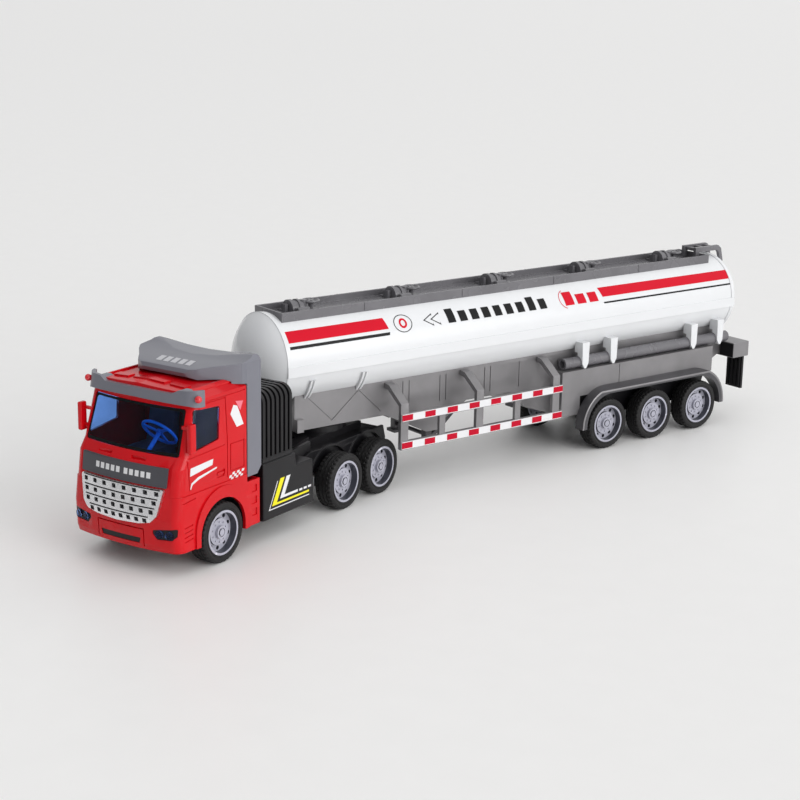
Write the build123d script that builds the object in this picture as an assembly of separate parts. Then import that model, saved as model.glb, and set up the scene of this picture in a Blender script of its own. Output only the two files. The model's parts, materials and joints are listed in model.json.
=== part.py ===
from build123d import *
from math import asin, atan2, cos, pi, radians, sin, sqrt, tan
import os

# Toy articulated tanker truck: a three-axle tractor and a three-axle tank semi-trailer.
# Millimetres, +Z up, wheels on the floor at Z = 0, the trailer along Y with its nose towards -Y.
# The trailer and the tractor are each drawn about the kingpin's axis with their noses to -Y.
# The tractor is then yawed about that axis, and everything is moved so that the origin is
# the centre of the whole toy's footprint.

# ---------------------------------------------------------------- driving dimensions
ARTICULATION = 18.8                 # yaw of the tractor at rest, its nose towards +X
FOOTPRINT_CENTRE = (17.617, 74.051)  # centre of the footprint, from the kingpin's axis

TYRE_R = 14.0
TYRE_WIDTH = 9.5
RIM_R = 10.3
AXLE_R = 1.25
RUNNING_GAP = 0.06                  # radial clearance of every turning shaft
TRACK_HALF = 32.2                   # outer face of the tyres
FRONT_AXLE_Y = -111.4
DRIVE_AXLE_YS = (-17.5, 13.4)
TRAILER_AXLE_YS = (173.4, 209.1, 244.8)

WALL = 1.6                          # moulded wall
CAB_HALF = 30.2
CAB_REAR_Y = -92.5
SILL_Z = 36.5                       # joint between the cab and the lower body
EAVE_Z = 77.4
CROWN_Z = 81.4
# side view of the truck's front on its centre line: (z, y)
FRONT_PROFILE = ((11.0, -142.4), (14.0, -143.4), (26.0, -144.0), (36.5, -142.6), (48.5, -140.9),
                 (53.5, -137.4), (74.0, -130.6), (86.0, -128.4))
FRONT_BOW = 3.4                     # how far the front's sides stand behind its middle
FRONT_CORNER = 5.0

DECK_Z = 30.0                       # top of the tractor's frame
DECK_HALF = 20.0
FIFTH_WHEEL_TOP = 36.4
KINGPIN_R = 2.5

TANK_R = 23.2
TANK_Z = 71.1
TANK_FRONT_Y = -32.0
TANK_REAR_Y = 279.0
DOME_DEPTH = 12.0
SEAM_Z = 69.0
WALK_HALF = 11.9
WALK_FRONT_Y = -28.0
WALK_REAR_Y = 268.0
WALK_TOP = 95.7
WALK_FLOOR = 92.6
WALK_SEAT = 90.2                    # underside of the walkway, let into the tank's skin
CHASSIS_HALF = 17.0
CHASSIS_BOTTOM = 37.4
REAR_HALF = 26.0
REAR_FRONT_Y = 143.5
REAR_BACK_Y = 260.5
REAR_TOP = 45.5
REAR_BOTTOM = 30.8
GUARD_OUTER = 31.6

GEAR_MODULE = 0.6
BIG_TEETH = 24
SMALL_TEETH = 10
GEAR_PITCH = GEAR_MODULE * (BIG_TEETH + SMALL_TEETH) / 2


# ---------------------------------------------------------------- drawing helpers
def box(x0, x1, y0, y1, z0, z1):
    return Pos((x0 + x1) / 2, (y0 + y1) / 2, (z0 + z1) / 2) * Box(x1 - x0, y1 - y0, z1 - z0)


def cylinder_x(radius, x0, x1, y, z):
    return Pos((x0 + x1) / 2, y, z) * Rot(0, 90, 0) * Cylinder(radius, x1 - x0)


def cylinder_z(radius, z0, z1, x=0.0, y=0.0):
    return Pos(x, y, (z0 + z1) / 2) * Cylinder(radius, z1 - z0)


def cylinder_y(radius, y0, y1, x, z):
    return Pos(x, (y0 + y1) / 2, z) * Rot(90, 0, 0) * Cylinder(radius, y1 - y0)


def outline(points, radius=0.0):
    face = make_face(Polyline(*points, close=True))
    return fillet(face.vertices(), radius) if radius else face


def side_prism(points, x0, x1, radius=0.0):
    """A side-view outline of (y, z) points, run along X."""
    return extrude(Plane.YZ.offset(x0) * outline(points, radius), x1 - x0)


def plan_prism(points, z0, z1, radius=0.0):
    """A plan outline of (x, y) points, run along Z."""
    return extrude(Plane.XY.offset(z0) * outline(points, radius), z1 - z0)


def front_prism(points, y0, y1, radius=0.0):
    """A front-view outline of (x, z) points, run along Y."""
    return extrude(Plane.XZ.offset(-y1) * outline(points, radius), y1 - y0)


def mirrored(points):
    """The (x, other) points of one half, joined to their mirror image."""
    return list(points) + [(-x, other) for x, other in reversed(points)]


def both_sides(solid):
    return [solid, mirror(solid, about=Plane.YZ)]


def groove(points, x, width=0.55, depth=0.4):
    """A shallow groove along (y, z) points in a side face at x, for both sides of the truck."""
    line = trace(Polyline(*points), width)
    cut = extrude(Plane.YZ.offset(x - depth) * line, depth + 2)
    return both_sides(cut)


def ring_around_x(r_out, r_in, x0, x1, y, z):
    return cylinder_x(r_out, x0, x1, y, z) - cylinder_x(r_in, x0 - 1, x1 + 1, y, z)


# ---------------------------------------------------------------- placing and writing
def tractor_place(solid):
    return Pos(-FOOTPRINT_CENTRE[0], -FOOTPRINT_CENTRE[1], 0) * Rot(0, 0, ARTICULATION) * solid


def trailer_place(solid):
    return Pos(-FOOTPRINT_CENTRE[0], -FOOTPRINT_CENTRE[1], 0) * solid


def write(name, solids, place):
    pieces = solids if isinstance(solids, list) else [solids]
    placed = [place(piece) for piece in pieces]
    flat = [solid for piece in placed for solid in piece.solids()]
    export_step(flat[0] if len(flat) == 1 else Compound(children=flat), f"parts/{name}.step")


# ---------------------------------------------------------------- wheels and axles
def tyre(x_sign, y):
    """A tyre with rounded shoulders."""
    half = TYRE_WIDTH / 2
    middle = TRACK_HALF - half
    body = cylinder_x(TYRE_R, middle - half, middle + half, y, TYRE_R)
    body = fillet(body.edges().filter_by(GeomType.CIRCLE), 1.4)
    body -= cylinder_x(RIM_R, middle - half - 1, middle + half + 1, y, TYRE_R)
    return body if x_sign > 0 else mirror(body, about=Plane.YZ)


def rim(x_sign, y):
    """A dished truck rim: bright flange, ten hand holes, a ring of nuts and a hub."""
    outer = TRACK_HALF - 0.2
    inner = TRACK_HALF - TYRE_WIDTH + 0.2
    z = TYRE_R
    body = ring_around_x(RIM_R, RIM_R - 1.1, inner, outer, y, z)
    body += cylinder_x(RIM_R - 0.6, outer - 5.2, outer - 3.6, y, z)
    body += cylinder_x(6.2, outer - 4.0, outer - 2.4, y, z)
    body += cylinder_x(3.0, inner - 0.4, outer - 0.9, y, z)
    for i in range(10):
        turn = Pos(0, y, z) * Rot(36 * i, 0, 0) * Pos(0, -y, -z)
        body -= turn * cylinder_x(0.95, outer - 6, outer - 3, y, z + 7.7)
        body += turn * cylinder_x(0.42, outer - 2.5, outer - 1.9, y, z + 4.6)
    body -= cylinder_x(2.1, outer - 1.4, outer, y, z)
    body += cylinder_x(1.6, outer - 1.6, outer - 0.7, y, z)
    body -= cylinder_x(AXLE_R, inner - 2, outer - 2.2, y, z)
    return body if x_sign > 0 else mirror(body, about=Plane.YZ)


def axle(y):
    reach = TRACK_HALF - 0.2 - 2.2
    return cylinder_x(AXLE_R, -reach, reach, y, TYRE_R)


# ---------------------------------------------------------------- the cab's form
def front_y(z):
    for (z0, y0), (z1, y1) in zip(FRONT_PROFILE, FRONT_PROFILE[1:]):
        if z <= z1:
            return y0 + (y1 - y0) * (z - z0) / (z1 - z0)
    return FRONT_PROFILE[-1][1]


def plan_section(z, half, rear_y, inset):
    """The truck's plan at one height: straight sides and rear, a bowed front, rounded corners."""
    x = half - inset
    nose = front_y(z) + inset
    side = nose + FRONT_BOW
    rear = rear_y - inset
    edges = [Line((x, side), (x, rear)), Line((x, rear), (-x, rear)), Line((-x, rear), (-x, side)),
             ThreePointArc((-x, side), (0, nose), (x, side))]
    face = make_face(edges)
    corners = face.vertices().sort_by(Axis.Y)[:2]
    return Pos(0, 0, z) * fillet(corners, max(FRONT_CORNER - inset, 1.5))


def body_form(half, rear_y, bottom, top, inset=0.0):
    """The truck's body between two heights, grown or shrunk evenly in plan."""
    heights = [bottom] + [z for z, _ in FRONT_PROFILE if bottom < z < top] + [top]
    return loft([plan_section(z, half, rear_y, inset) for z in heights], ruled=True)


def cab_form(inset=0.0, bottom=SILL_Z):
    """The cab with its crowned roof and rounded shoulders."""
    crown = mirrored([(CAB_HALF + 4, 0), (CAB_HALF + 4, EAVE_Z - 3), (CAB_HALF - inset, EAVE_Z - 3),
                      (CAB_HALF - inset, EAVE_Z - inset), (24.6, 80.2 - inset), (0.1, CROWN_Z - inset)])
    return body_form(CAB_HALF, CAB_REAR_Y, bottom, 85.0, inset) & front_prism(crown, -160, -60)


ROOF_RIB = 0.7
VISOR_REAR_Y = -123.0
WINDSCREEN = mirrored([(27.0, 53.2), (26.0, 73.4)])
SIDE_WINDOW = [(-130.4, 54.6), (-127.2, 73.2), (-111.0, 72.0), (-111.8, 57.0)]
HEADER = mirrored([(24.4, 40.4), (24.6, 49.0)])
GRILLE = mirrored([(0.1, 23.0), (12.0, 23.6), (18.0, 24.8), (21.2, 28.0), (23.8, 39.8)])
LOWER_MESH = mirrored([(10.8, 13.8), (11.6, 16.4)])


def windscreen_opening():
    return front_prism(WINDSCREEN, -150, -118, 1.2)


def side_window_openings():
    return both_sides(side_prism(SIDE_WINDOW, CAB_HALF - 4, CAB_HALF + 2, 1.2))


def front_skin(outer, inner, points, radius):
    """A layer that follows the truck's front between two insets, inside a front-view outline."""
    layer = body_form(CAB_HALF, CAB_REAR_Y, 12.0, 52.0, outer)
    layer -= body_form(CAB_HALF, CAB_REAR_Y, 10.0, 54.0, inner)
    return layer & front_prism(points, -150, -128, radius)


def cab_shell():
    shell = cab_form() - cab_form(WALL, SILL_Z - 2)
    shell -= windscreen_opening()
    for opening in side_window_openings():
        shell -= opening
    shell -= front_skin(-1.0, 0.9, HEADER, 0.4)
    shell -= front_skin(-1.0, 0.9, GRILLE, 1.0)
    # two slots above the header
    for x in (-11.8, 7.6):
        shell -= box(x - 4, x + 4, -150, front_y(50) + 1.6, 50.2, 51.5)
    door = [(-131.6, 38.2), (-133.2, 54.6), (-129.4, 75.0), (-107.2, 75.0), (-106.0, 56.0), (-106.0, 38.2)]
    belt = [(-133.2, 52.6), (-108.0, 53.6)]
    locker = [(-103.8, 40.6), (-94.4, 40.6), (-94.4, 53.0), (-103.8, 53.0), (-103.8, 40.6)]
    eave = [(-124.0, 75.8), (-93.5, 75.8)]
    for line in (door, belt, locker, eave):
        for cut in groove(line, CAB_HALF):
            shell -= cut
    cup = [(-114.0, 39.4), (-108.2, 39.4), (-107.6, 42.8), (-113.0, 42.8)]
    for recess in both_sides(side_prism(cup, CAB_HALF - 0.6, CAB_HALF + 1, 0.8)):
        shell -= recess
    for grip in both_sides(box(CAB_HALF - 0.7, CAB_HALF + 0.1, -113.0, -108.6, 40.7, 41.7)):
        shell += grip
    # raised hatches and side ribs on the roof
    skin = cab_form(-ROOF_RIB) - cab_form(0.0)
    for x0, x1, y1 in ((-9.0, 9.0, -118.4), (-20.5, -12.0, -118.4), (12.0, 20.5, -118.4),
                       (-26.2, -23.6, -97.0), (23.6, 26.2, -97.0)):
        shell += skin & box(x0, x1, VISOR_REAR_Y + 0.2, y1, 60, 90)
    return shell


def windscreen():
    return (cab_form(0.4) - cab_form(1.5)) & windscreen_opening()


def side_windows():
    pane = cab_form(0.5) - cab_form(1.4)
    return [pane & opening for opening in side_window_openings()]


# ---------------------------------------------------------------- lower body of the cab
CAB_SCREWS = ((-14.0, -128.0), (-14.0, -99.0), (14.0, -128.0), (14.0, -99.0))
SCREW_R = 1.1
LOWER_HALF = 30.8
LOWER_REAR_Y = -84.0
LIP_HALF = 31.6
ARCH_Y = -110.6
LAMP_OUTLINE = [(20.0, 17.0), (27.6, 17.4), (29.6, 19.4), (29.9, 22.9), (18.2, 21.2), (18.0, 19.6)]


def arch_shape(radius, centre_z, x0, x1):
    """A wheel arch: a half round on straight legs down past the sill."""
    return cylinder_x(radius, x0, x1, ARCH_Y, centre_z) + box(
        x0, x1, ARCH_Y - radius, ARCH_Y + radius, 5.0, centre_z)


def lower_form(inset=0.0, bottom=11.2, top=SILL_Z):
    return body_form(LOWER_HALF, LOWER_REAR_Y, bottom, top, inset)


def lamp_space():
    return both_sides(front_prism(LAMP_OUTLINE, -150, -128, 0.6))


def lower_body():
    """Bumper, steps and wheel arches in one moulding, with the web that the cab stands on."""
    body = lower_form() - lower_form(WALL, 5.0)
    body -= box(-60, 60, -92.9, -60, 32.6, 60)
    # the rear wall is open around the frame
    body -= box(-DECK_HALF - 0.4, DECK_HALF + 0.4, -90.0, -80.0, 0, DECK_Z)
    web = box(-28.6, 28.6, -139.0, -88.0, DECK_Z, DECK_Z + 1.4)
    body += web & lower_form(WALL / 2)
    for x, y in CAB_SCREWS:
        body += cylinder_z(2.6, DECK_Z, 37.6, x, y)
        body -= cylinder_z(SCREW_R, DECK_Z - 1, 36.6, x, y)
    outer_lip = arch_shape(18.4, 17.0, CAB_HALF - 1.0, LIP_HALF) & box(0, 60, -140, -60, 11.2, 60)
    for lip in both_sides(outer_lip):
        body += lip
    # the arches are open from outside through to the wheels
    for opening in both_sides(arch_shape(15.4, 14.6, 21.0, 40.0)):
        body -= opening
    # an inner wall closes each wheel well, with a slot that the axle drops through
    well = box(20.4, 21.6, ARCH_Y - 17.0, ARCH_Y + 17.0, 12.0, DECK_Z + 0.6)
    well -= box(20, 22, FRONT_AXLE_Y - 2.0, FRONT_AXLE_Y + 2.0, 5.0, TYRE_R + 2.2)
    for wall in both_sides(well):
        body += wall
    skin = lower_form(-2.0, 8.0) - lower_form(0.9, 8.0)
    body -= front_skin(-1.0, 0.9, GRILLE, 1.0)
    body -= front_skin(-1.0, 0.9, LOWER_MESH, 0.3)
    for space in lamp_space():
        body -= skin & space
    # louvres ahead of the arch and upright slots behind it
    for i in range(4):
        z = 16.0 + 2.1 * i
        for cut in groove([(-136.0, z), (-130.6, z + 0.5)], LOWER_HALF, 0.6, 0.45):
            body -= cut
    for z in (15.6, 21.2, 26.8):
        slot = side_prism([(-89.6, z), (-86.0, z), (-86.0, z + 3.4), (-89.6, z + 3.4)], LOWER_HALF - 0.5, 40)
        for cut in both_sides(slot):
            body -= cut
    crease = [(-137.0, 33.6), (-128.6, 34.4)]
    for cut in groove(crease, LOWER_HALF, 0.6, 0.5):
        body -= cut
    # steps pressed into the bumper's face
    for x in (13.2, -13.2):
        body -= skin & box(x - 0.3, x + 0.3, -150, -128, 12.6, 20.8)
    body -= skin & box(-13.2, 13.2, -150, -128, 20.4, 21.0)
    return body


def grille():
    """Four bright slats with a row of slots through each, in one moulding."""
    plate = front_skin(-1.3, 0.2, GRILLE, 1.0)
    for row in range(4):
        z = 23.4 + 4.1 * row
        edge = (17.0, 20.0, 21.2, 22.2)[row]
        plate -= box(-edge, edge, -150, -128, z + 3.4, z + 4.0)
        for i in range(8):
            x = (edge - 1.8) * (i / 3.5 - 1)
            notch = [(x - 1.3, z + 2.9), (x + 0.9, z + 2.9), (x + 1.3, z + 1.0), (x - 0.9, z + 1.0)]
            plate -= front_prism(notch, -150, -128, 0.3)
    return plate


def grille_header():
    return front_skin(-0.6, 0.9, HEADER, 0.4)


def front_insert():
    """The black parts let into the front: grille backing, lamp bezels and lower mesh."""
    layer = lower_form(0.3, 9.0) - lower_form(0.9, 9.0)
    bezels = [layer & space for space in lamp_space()]
    return [front_skin(0.2, 0.9, GRILLE, 1.0), front_skin(0.3, 0.9, LOWER_MESH, 0.3)] + bezels


def headlamps():
    """Two lenses on each side, set on the black bezels."""
    layer = lower_form(-0.5, 9.0) - lower_form(0.3, 9.0)
    lenses = []
    for x in (21.6, 26.4):
        lens = layer & cylinder_y(1.8, -150, -128, x, 19.6)
        lenses += both_sides(lens)
    return lenses


# ---------------------------------------------------------------- cab fittings
def sun_visor():
    """A bowed visor above the windscreen with its two ends turned up."""
    points = [(0.0, 75.8), (28.0, 75.2), (34.0, 74.0), (34.0, 81.8), (22.6, 81.4), (19.2, 79.6), (0.0, 79.9),
              (-19.2, 79.6), (-22.6, 81.4), (-34.0, 81.8), (-34.0, 74.0), (-28.0, 75.2)]
    brow = body_form(CAB_HALF, CAB_REAR_Y, 70.0, 86.0, -1.9)
    brow -= body_form(CAB_HALF, CAB_REAR_Y, 69.0, 87.0, -0.4)
    shape = brow + cab_form(-0.8) - cab_form(0.0)
    visor = shape & front_prism(points, -150, VISOR_REAR_Y)
    for lamp in visor_lamps():
        visor -= lamp
    return visor


def visor_lamps():
    return both_sides(Pos(31.9, -127.2, 78.4) * Sphere(1.6))


def roof_deflector():
    """Roof deflector and the upright fairing behind the cab, hollow towards the cab."""
    profile = [(-109.0, 80.6), (-112.6, 82.4), (-113.4, 84.2), (-112.4, 85.9), (-109.0, 86.5), (-104.5, 87.0),
               (-95.0, 87.8), (-88.0, 89.0), (-84.6, 90.6), (-82.8, 90.2), (-82.4, 89.0), (-82.4, 38.2),
               (-85.4, 34.8), (-92.3, 34.8), (-92.3, 78.2), (-104.0, 79.2)]
    plan = mirrored([(0.1, -114.0), (12.0, -113.4), (16.6, -111.2), (21.0, -105.6),
                     (27.0, -99.0), (30.0, -95.0), (30.6, -92.6), (30.6, -80.0)])
    # the top dips towards the middle at the rear
    front = mirrored([(30.6, 30.0), (30.6, 87.6), (28.8, 89.8), (24.0, 89.5), (12.0, 88.3), (0.1, 87.9)])
    form = side_prism(profile, -31, 31) & plan_prism(plan, 30, 95)
    form &= front_prism(front, -130, -78)
    body = form - cab_form(0.0, 30.0)
    body -= cab_form(-ROOF_RIB - 0.05, 30.0) & box(-27.0, 27.0, -126.0, -96.5, 60, 90)
    hollow = plan_prism(mirrored([(12.0, -109.0), (19.6, -103.0), (28.6, -93.6), (28.9, -84.0)]), 36.6, 84.0)
    # an upright rib and a shelf stiffen the hollow
    hollow -= box(-0.8, 0.8, -120, -80, 30, 90)
    hollow -= box(-40, 40, -93, -80, 59.2, 60.8)
    return body - hollow


def mirrors():
    """Boxed door mirrors, each on two short arms from the cab's front corner."""
    head = fillet(box(30.6, 33.0, -133.8, -129.9, 55.4, 68.4).edges(), 0.7)
    for z in (57.4, 65.2):
        head += box(26.0, 32.0, -131.6, -130.4, z, z + 1.4)
    return both_sides(head - cab_form(0.0))


SEAT_X = 13.0


def cab_interior():
    """Floor, dash and two seats moulded as one tray."""
    tray = box(-27.6, 27.6, -135.0, -94.6, 38.0, 39.2)
    dash = [(-137.0, 38.0), (-129.0, 38.0), (-126.6, 48.6), (-128.6, 51.4), (-137.0, 52.6)]
    tray += side_prism(dash, -26.4, 26.4)
    for x in (-SEAT_X, SEAT_X):
        tray += box(x - 7.5, x + 7.5, -115.0, -99.0, 38.6, 46.0)
        back = [(-102.6, 44.0), (-98.0, 44.0), (-95.4, 65.0), (-98.2, 66.0)]
        tray += side_prism(back, x - 7.5, x + 7.5)
    return tray & cab_form(WALL + 0.3, SILL_Z)


def steering_wheel():
    tilt = Pos(7.0, -124.0, 59.0) * Rot(-48, 0, 0)
    wheel = Torus(8.2, 0.7) + Cylinder(1.6, 1.6)
    for i in range(3):
        wheel += Rot(0, 0, 90 + 120 * i) * Pos(4.2, 0, 0) * Box(7.8, 1.2, 0.8)
    column = Pos(0, 0, -5.6) * Cylinder(1.0, 10.4)
    return (tilt * (wheel + column)) - cab_interior()


def intake_block():
    """Upright block behind the cab with seven ribs that run up its sides and over its top."""
    core = front_prism(mirrored([(28.6, 30.0), (28.6, 69.8)]), -80.6, -59.2, 4.0)
    core &= box(-40, 40, -90, -50, 38.2, 80)
    rib_form = front_prism(mirrored([(30.4, 30.0), (30.4, 71.5)]), -82.0, -58.0, 5.5)
    block = core + (rib_form & box(-40, 40, -81.2, -58.8, 38.2, 40.4))
    for i in range(7):
        y = -80.9 + 3.3 * i
        block += rib_form & box(-40, 40, y, y + 1.9, 38.2, 80.0)
    for pocket in both_sides(box(0.8, 26.8, -79.0, -60.8, 30.0, 66.0)):
        block -= pocket
    # filler cap
    return block + cylinder_z(2.4, 69.0, 73.2, 23.0, -78.0) + cylinder_z(1.7, 73.2, 74.6, 23.0, -78.0)


def side_tanks():
    """Boxed side panels between the cab and the drive wheels, open towards the frame."""
    points = [(-81.4, 10.4), (-42.6, 10.4), (-43.8, 32.0), (-56.4, 32.0), (-57.2, 38.0), (-81.4, 38.0)]
    inner = [(-79.8, 12.0), (-44.4, 12.0), (-45.4, 30.4), (-57.8, 30.4), (-58.6, 36.4), (-79.8, 36.4)]
    body = side_prism(points, DECK_HALF + 0.2, 31.0)
    body = fillet(body.faces().sort_by(Axis.X)[-1].edges(), 0.7)
    return both_sides(body - side_prism(inner, DECK_HALF - 1, 31.0 - WALL))


# ---------------------------------------------------------------- tractor's frame
def tractor_chassis():
    """Ladder frame with a deck, axle bearings, ramps and the fifth wheel's base."""
    frame = box(-DECK_HALF, DECK_HALF, -137.0, 27.0, DECK_Z - WALL, DECK_Z)
    for beam in both_sides(box(DECK_HALF - 2.2, DECK_HALF, -86.0, 27.0, 19.0, DECK_Z)):
        frame += beam
    for beam in both_sides(box(11.8, 14.0, -137.0, 27.0, 22.0, DECK_Z)):
        frame += beam
    frame += box(-DECK_HALF, DECK_HALF, 25.4, 27.0, 19.0, DECK_Z)
    for y in (FRONT_AXLE_Y, *DRIVE_AXLE_YS):
        for block in both_sides(box(15.4, 19.4, y - 4.0, y + 4.0, 9.6, DECK_Z - 1.0)):
            frame += block
    frame += box(-18.0, 18.0, -80.6, -59.2, DECK_Z - 0.5, 38.2)
    frame -= box(-11.6, 11.6, -79.0, -60.8, 20.0, 38.2 - WALL)
    # two ramps that guide the trailer's nose up to the fifth wheel, and side cheeks
    foot = DECK_Z - 0.5
    ramp = [(-56.0, foot), (-24.0, foot), (-24.0, 35.0), (-46.0, 31.6)]
    for side in both_sides(side_prism(ramp, 8.0, 14.0)):
        frame += side
    frame += box(-14.0, 14.0, -24.0, 20.0, foot, 33.4)
    cheek = [(-52.0, foot), (-31.0, foot), (-31.0, 35.4), (-48.0, 33.8)]
    for side in both_sides(side_prism(cheek, DECK_HALF - 1.6, DECK_HALF)):
        frame += side
    frame -= cylinder_z(3.4, 20.0, 40.0)
    for y in (FRONT_AXLE_Y, *DRIVE_AXLE_YS):
        frame -= cylinder_x(AXLE_R + RUNNING_GAP, -30, 30, y, TYRE_R)
    for x, y in CAB_SCREWS:
        frame -= cylinder_z(3.0, 20.0, DECK_Z - WALL, x, y)
        frame -= cylinder_z(SCREW_R + 0.2, 20.0, DECK_Z + 1, x, y)
    return frame


def fifth_wheel():
    """Round coupling plate with a narrow throat open to the rear."""
    plate = cylinder_z(15.5, 33.4, FIFTH_WHEEL_TOP) - box(-16, 16, 12.4, 20, 30, 40)
    plate -= cylinder_z(KINGPIN_R + RUNNING_GAP, 30, 40)
    return plate - box(-1.9, 1.9, 0.0, 20.0, 30, 40)


def rear_skirts():
    """Side skirts with an arch over each drive wheel and a thin lip around it."""
    x0, x1 = DECK_HALF + 0.2, DECK_HALF + 1.6
    top = [(-42.0, 20.0), (-42.0, 27.0), (-34.0, 30.4), (29.0, 30.4), (31.0, 24.0), (31.0, 20.0)]
    skirt = side_prism(top, x0, x1)
    for y in DRIVE_AXLE_YS:
        skirt += cylinder_x(17.2, x0, x1, y, TYRE_R) & box(0, 60, -60, 60, 18.0, 40)
        skirt += cylinder_x(17.2, x0, x1 + 0.6, y, TYRE_R) & box(0, 60, -60, 60, 20.0, 40)
    for y in DRIVE_AXLE_YS:
        skirt -= cylinder_x(16.0, 10, 40, y, TYRE_R)
    skirt -= box(10, 40, DRIVE_AXLE_YS[0], DRIVE_AXLE_YS[1], 0, 21.0)
    return both_sides(skirt)


# ---------------------------------------------------------------- friction drive
DRIVE_Y = DRIVE_AXLE_YS[0]
IDLER_TILT = 28.0                   # slope of the line from the drive axle to the idler
IDLER_Y = DRIVE_Y + GEAR_PITCH * cos(radians(IDLER_TILT))
IDLER_Z = TYRE_R + GEAR_PITCH * sin(radians(IDLER_TILT))
FLYWHEEL_Y = IDLER_Y + GEAR_PITCH
FLYWHEEL_Z = IDLER_Z
PIN_R = 0.75


def involute_gear(teeth, x0, x1, y, z, phase_deg):
    """A spur gear on an axis along X, one tooth's middle at the phase angle from +Y."""
    pitch_r = GEAR_MODULE * teeth / 2
    base_r = pitch_r * cos(radians(20))
    tip_r = pitch_r + 0.9 * GEAR_MODULE
    root_r = pitch_r - 1.2 * GEAR_MODULE
    inv = tan(radians(20)) - radians(20)
    backlash = 0.07
    half_tooth = pi / (2 * teeth) - backlash / pitch_r + inv
    flank = []
    for i in range(5):
        r = max(base_r, root_r) + (tip_r - max(base_r, root_r)) * i / 4
        roll = sqrt(max((r / base_r) ** 2 - 1, 0.0))
        flank.append((r, half_tooth - (roll - atan2(roll, 1.0))))
    flank = [(root_r, flank[0][1])] + flank
    points = []
    for tooth in range(teeth):
        middle = radians(phase_deg) + 2 * pi * tooth / teeth
        for r, angle in flank:
            points.append((y + r * cos(middle - angle), z + r * sin(middle - angle)))
        for r, angle in reversed(flank):
            points.append((y + r * cos(middle + angle), z + r * sin(middle + angle)))
    return side_prism(points, x0, x1)


def drive_gear():
    """Pressed on the front drive axle; a tooth gap faces the idler."""
    phase = IDLER_TILT + 180 / BIG_TEETH
    gear = involute_gear(BIG_TEETH, 3.0, 5.4, DRIVE_Y, TYRE_R, phase)
    return gear + cylinder_x(2.4, 2.0, 6.4, DRIVE_Y, TYRE_R) - cylinder_x(AXLE_R, 0, 8, DRIVE_Y, TYRE_R)


def idler_gear():
    """Small pinion on the drive gear and large gear on the flywheel's pinion, in one piece."""
    pinion = involute_gear(SMALL_TEETH, 2.6, 5.8, IDLER_Y, IDLER_Z, IDLER_TILT + 180)
    wheel = involute_gear(BIG_TEETH, 0.2, 2.4, IDLER_Y, IDLER_Z, 180 / BIG_TEETH)
    hub = cylinder_x(2.0, 0.0, 6.0, IDLER_Y, IDLER_Z)
    return pinion + wheel + hub + cylinder_x(PIN_R, -9.4, 9.4, IDLER_Y, IDLER_Z)


def flywheel():
    """Steel disc with a small pinion; its gap geometry meets the idler's tooth gap."""
    pinion = involute_gear(SMALL_TEETH, 0.0, 2.6, FLYWHEEL_Y, FLYWHEEL_Z, 180)
    disc = cylinder_x(8.0, -5.4, -1.0, FLYWHEEL_Y, FLYWHEEL_Z)
    collar = cylinder_x(1.4, -1.2, 0.2, FLYWHEEL_Y, FLYWHEEL_Z)
    return pinion + disc + collar + cylinder_x(PIN_R, -9.4, 9.4, FLYWHEEL_Y, FLYWHEEL_Z)


def gearbox_case():
    """Open-bottomed case under the deck that carries the idler's and the flywheel's pins."""
    y0, y1 = DRIVE_Y - 10.2, FLYWHEEL_Y + 10.0
    top = DECK_Z - WALL
    slot = AXLE_R + 0.3
    case = box(-10.4, 10.4, y0, y1, 12.0, top) - box(-9.2, 9.2, y0 + 1.2, y1 - 1.2, 10.0, top - 1.2)
    case -= cylinder_x(slot, -12, 12, DRIVE_Y, TYRE_R)
    case -= box(-12, 12, DRIVE_Y - slot, DRIVE_Y + slot, 5, TYRE_R)
    for y, z in ((IDLER_Y, IDLER_Z), (FLYWHEEL_Y, FLYWHEEL_Z)):
        case -= cylinder_x(PIN_R + RUNNING_GAP, -12, 12, y, z)
    case -= cylinder_z(3.4, 20.0, 40.0)
    return case


def screw(x, y, head_z, shank_top):
    """A pan-head screw that points up, with a crossed slot."""
    body = cylinder_z(SCREW_R, head_z, shank_top, x, y) + cylinder_z(2.4, head_z - 1.5, head_z, x, y)
    for turn in (0, 90):
        body -= Pos(x, y, head_z - 1.5) * Rot(0, 0, turn) * Box(2.6, 0.5, 1.2)
    return body


def tractor_screws():
    return [screw(x, y, DECK_Z - WALL, 36.4) for x, y in CAB_SCREWS]


# ---------------------------------------------------------------- tank
def tank_body(r, dome):
    """A round tank with shallow domed ends, turned about its own axis."""
    front, rear = TANK_FRONT_Y, TANK_REAR_Y
    sphere_r = (r * r + dome * dome) / (2 * dome)
    half_angle = asin(r / sphere_r) / 2
    bulge, rise = sphere_r * sin(half_angle), sphere_r * (1 - cos(half_angle))
    profile = [
        Line((0, front - dome), (0, rear + dome)),
        ThreePointArc((0, rear + dome), (bulge, rear + dome - rise), (r, rear)),
        Line((r, rear), (r, front)),
        ThreePointArc((r, front), (bulge, front - dome + rise), (0, front - dome)),
    ]
    return Pos(0, 0, TANK_Z) * revolve(make_face(profile), Axis.Y)


def hoop(radius, y, half_width):
    """A ring around the tank's skin."""
    outside = cylinder_y(radius, y - half_width, y + half_width, 0, TANK_Z)
    return outside - cylinder_y(TANK_R - 0.5, y - half_width - 1, y + half_width + 1, 0, TANK_Z)


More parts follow.
